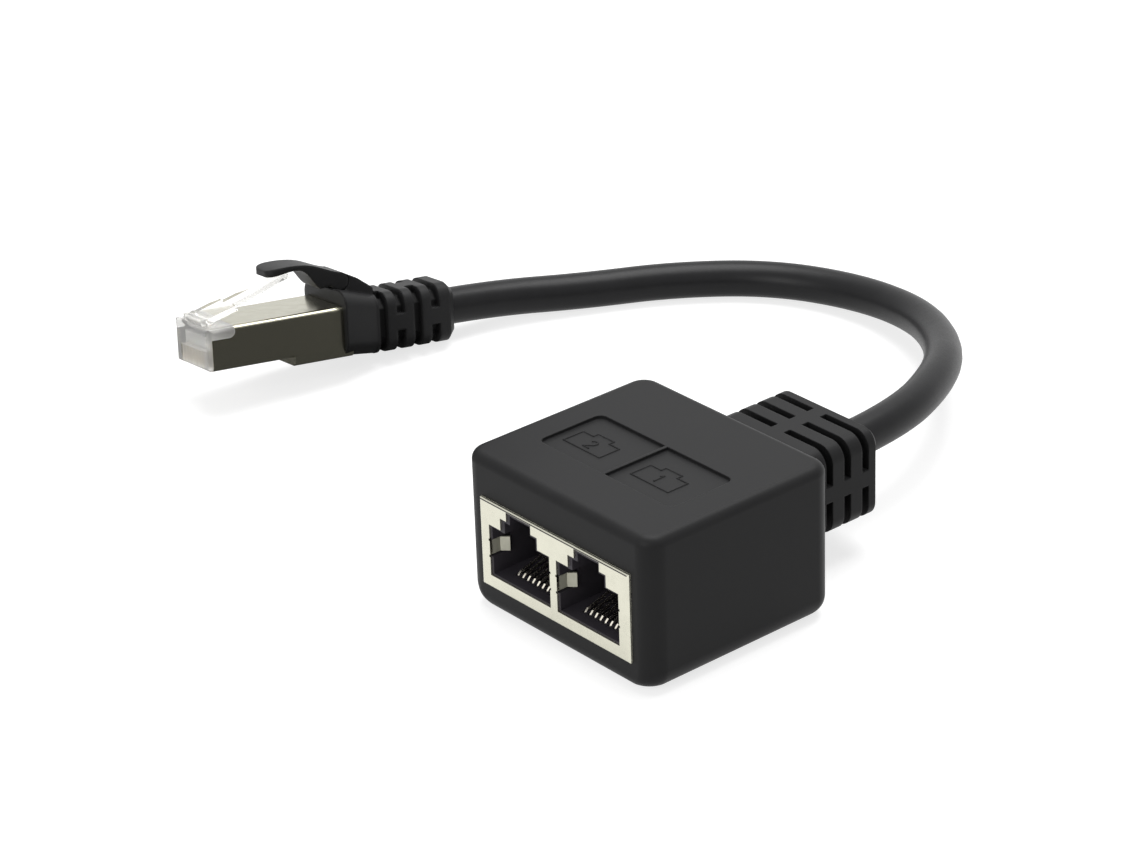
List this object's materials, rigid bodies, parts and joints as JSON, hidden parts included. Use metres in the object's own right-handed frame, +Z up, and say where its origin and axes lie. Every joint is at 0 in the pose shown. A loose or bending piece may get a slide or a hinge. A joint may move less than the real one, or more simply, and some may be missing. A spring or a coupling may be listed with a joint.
{
  "type": "network port splitter",
  "caption": "Compact moulded splitter with a shielded twin network socket at the front and a short round cable that ends in a shielded plug with a guarded latch.",
  "frame": {"origin": "centre of the block's flat base, on the surface it lies on", "axes": "+Z up, -Y out of the two sockets, +Y along the cable as it leaves the block, +X across the block"},
  "size_m": [0.1189, 0.1059, 0.0234],
  "materials": {
    "black_pvc": "satin moulded PVC",
    "cable_jacket": "satin extruded PVC",
    "inner_mould": "matte hard moulding",
    "board": "solder mask",
    "shield_plate": "bright nickel plate",
    "socket_plastic": "fine matte",
    "clear_plug": "clear polycarbonate",
    "gold_contact": "gold plate",
    "core_insulation": "satin insulation"
  },
  "bodies": {
    "adapter": {"housing": "black_pvc", "inner_mould": "inner_mould", "splitter_board": "board", "jack_shield": "shield_plate", "jack_housing": "socket_plastic", "contact_insert_left": "socket_plastic", "contact_insert_right": "socket_plastic", "cable_inner_end": "cable_jacket", "cable": "cable_jacket", "cable_plug_end": "cable_jacket", "plug_body": "clear_plug", "plug_load_bar": "clear_plug", "plug_shield": "shield_plate", "plug_boot": "black_pvc", "left_contact_1": "gold_contact", "left_contact_2": "gold_contact", "left_contact_3": "gold_contact", "left_contact_4": "gold_contact", "left_contact_5": "gold_contact", "left_contact_6": "gold_contact", "left_contact_7": "gold_contact", "left_contact_8": "gold_contact", "right_contact_1": "gold_contact", "right_contact_2": "gold_contact", "right_contact_3": "gold_contact", "right_contact_4": "gold_contact", "right_contact_5": "gold_contact", "right_contact_6": "gold_contact", "right_contact_7": "gold_contact", "right_contact_8": "gold_contact", "plug_contact_1": "gold_contact", "plug_contact_2": "gold_contact", "plug_contact_3": "gold_contact", "plug_contact_4": "gold_contact", "plug_contact_5": "gold_contact", "plug_contact_6": "gold_contact", "plug_contact_7": "gold_contact", "plug_contact_8": "gold_contact", "wire_1": "core_insulation", "wire_2": "core_insulation", "wire_3": "core_insulation", "wire_4": "core_insulation", "wire_5": "core_insulation", "wire_6": "core_insulation", "wire_7": "core_insulation", "wire_8": "core_insulation", "plug_wire_1": "core_insulation", "plug_wire_2": "core_insulation", "plug_wire_3": "core_insulation", "plug_wire_4": "core_insulation", "plug_wire_5": "core_insulation", "plug_wire_6": "core_insulation", "plug_wire_7": "core_insulation", "plug_wire_8": "core_insulation"},
    "latch": {"plug_latch": "clear_plug"},
    "latch_guard": {"boot_arm": "black_pvc"}
  },
  "joints": [
    {"name": "guard_flex", "type": "hinge", "parent": "adapter", "child": "latch_guard", "pos_m": [-0.09108, 0.01572, 0.01427], "axis": [0.9736, -0.1385, 0.1813], "range_deg": [0, 16], "stiffness_Nm_per_rad": 0.03},
    {"name": "latch_flex", "type": "hinge", "parent": "adapter", "child": "latch", "pos_m": [-0.0942, -0.00662, 0.01395], "axis": [-0.9736, 0.1385, -0.1813], "range_deg": [0, 12.5], "stiffness_Nm_per_rad": 0.02}
  ],
  "couplings": [
    {"joint": "latch_flex", "follows": "guard_flex", "ratio": 0.78}
  ]
}
